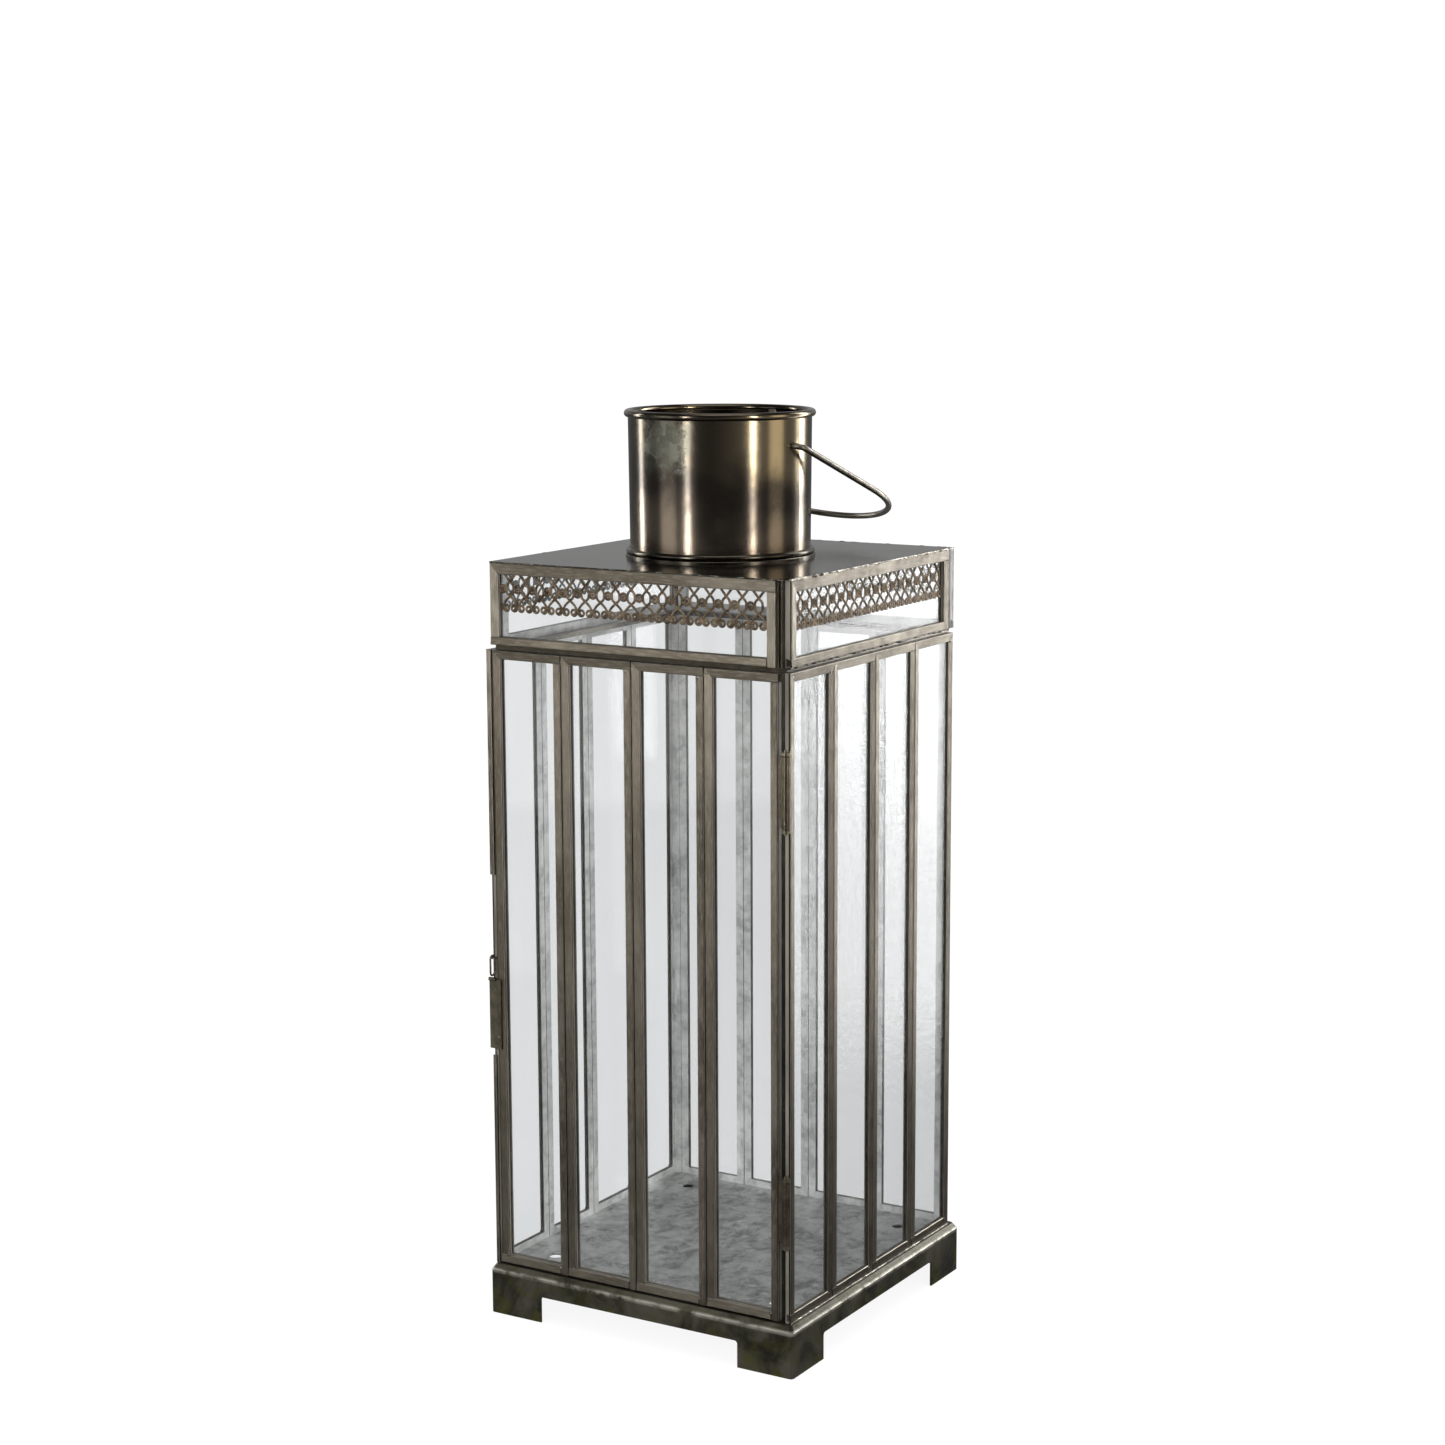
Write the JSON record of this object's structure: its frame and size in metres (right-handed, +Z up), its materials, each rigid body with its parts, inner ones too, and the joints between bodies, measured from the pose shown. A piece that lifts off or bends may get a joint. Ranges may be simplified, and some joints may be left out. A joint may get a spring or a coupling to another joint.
{
  "type": "candle lantern",
  "caption": "Tall square glazed metal candle lantern with bracket feet, hinged front door, pierced gallery head, flat roof, open chimney and wire bail handle.",
  "frame": {"origin": "standing plane, at the centre of the square plinth", "axes": "+Z up, the door faces -Y, +X to the right of the door"},
  "size_m": [0.23, 0.2537, 0.594],
  "materials": {
    "came_brass": "antiqued satin, worn lighter along the edges",
    "gallery_brass": "antiqued brown satin",
    "plinth_bronze": "dark olive bronze patina, worn edge",
    "roof_bronze": "brown-gold bronze patina fading to near black",
    "bronzed_wire": "bronzed, satin",
    "galvanised_sheet": "mottled galvanised",
    "clear_glass": "clear"
  },
  "bodies": {
    "lantern_body": {"back_wall_glass": "clear_glass", "back_wall_rails": "came_brass", "back_wall_stiles": "came_brass", "catch_staple": "bronzed_wire", "chimney_base_ring": "roof_bronze", "chimney_tube": "roof_bronze", "closing_beads": "came_brass", "corner_post": "came_brass", "floor_plate": "galvanised_sheet", "gallery_back": "gallery_brass", "gallery_front": "gallery_brass", "gallery_left": "gallery_brass", "gallery_right": "gallery_brass", "head_back_glass": "clear_glass", "head_back_rails": "came_brass", "head_back_stiles": "came_brass", "head_corner_posts": "came_brass", "head_front_glass": "clear_glass", "head_front_rails": "came_brass", "head_front_stiles": "came_brass", "head_left_glass": "clear_glass", "head_left_rails": "came_brass", "head_left_stiles": "came_brass", "head_right_glass": "clear_glass", "head_right_rails": "came_brass", "head_right_stiles": "came_brass", "hinge_jamb": "came_brass", "hinge_lugs": "came_brass", "hinge_pins": "bronzed_wire", "left_wall_glass": "clear_glass", "left_wall_rails": "came_brass", "left_wall_stiles": "came_brass", "neck_frame": "came_brass", "plinth": "plinth_bronze", "right_wall_glass": "clear_glass", "right_wall_rails": "came_brass", "right_wall_stiles": "came_brass", "roof_plate": "roof_bronze"},
    "door": {"door_stiles": "came_brass", "door_rails": "came_brass", "door_glass": "clear_glass", "hinge_sleeves": "came_brass", "hasp": "came_brass", "hasp_rivet": "bronzed_wire"},
    "bail": {"bail_handle": "bronzed_wire"},
    "catch": {"catch_loop": "bronzed_wire"}
  },
  "joints": [
    {"name": "door_hinge", "type": "hinge", "parent": "lantern_body", "child": "door", "pos_m": [0.1089, -0.1118, 0.2395], "axis": [0, 0, 1], "range_deg": [0, 170]},
    {"name": "bail_pivot", "type": "hinge", "parent": "lantern_body", "child": "bail", "pos_m": [-0.0032, -0.0019, 0.572], "axis": [0.9928, -0.1201, 0], "range_deg": [-6, 230]},
    {"name": "catch_swing", "type": "hinge", "parent": "lantern_body", "child": "catch", "pos_m": [-0.1114, -0.112, 0.2406], "axis": [-1, 0, 0], "range_deg": [0, 120]}
  ]
}
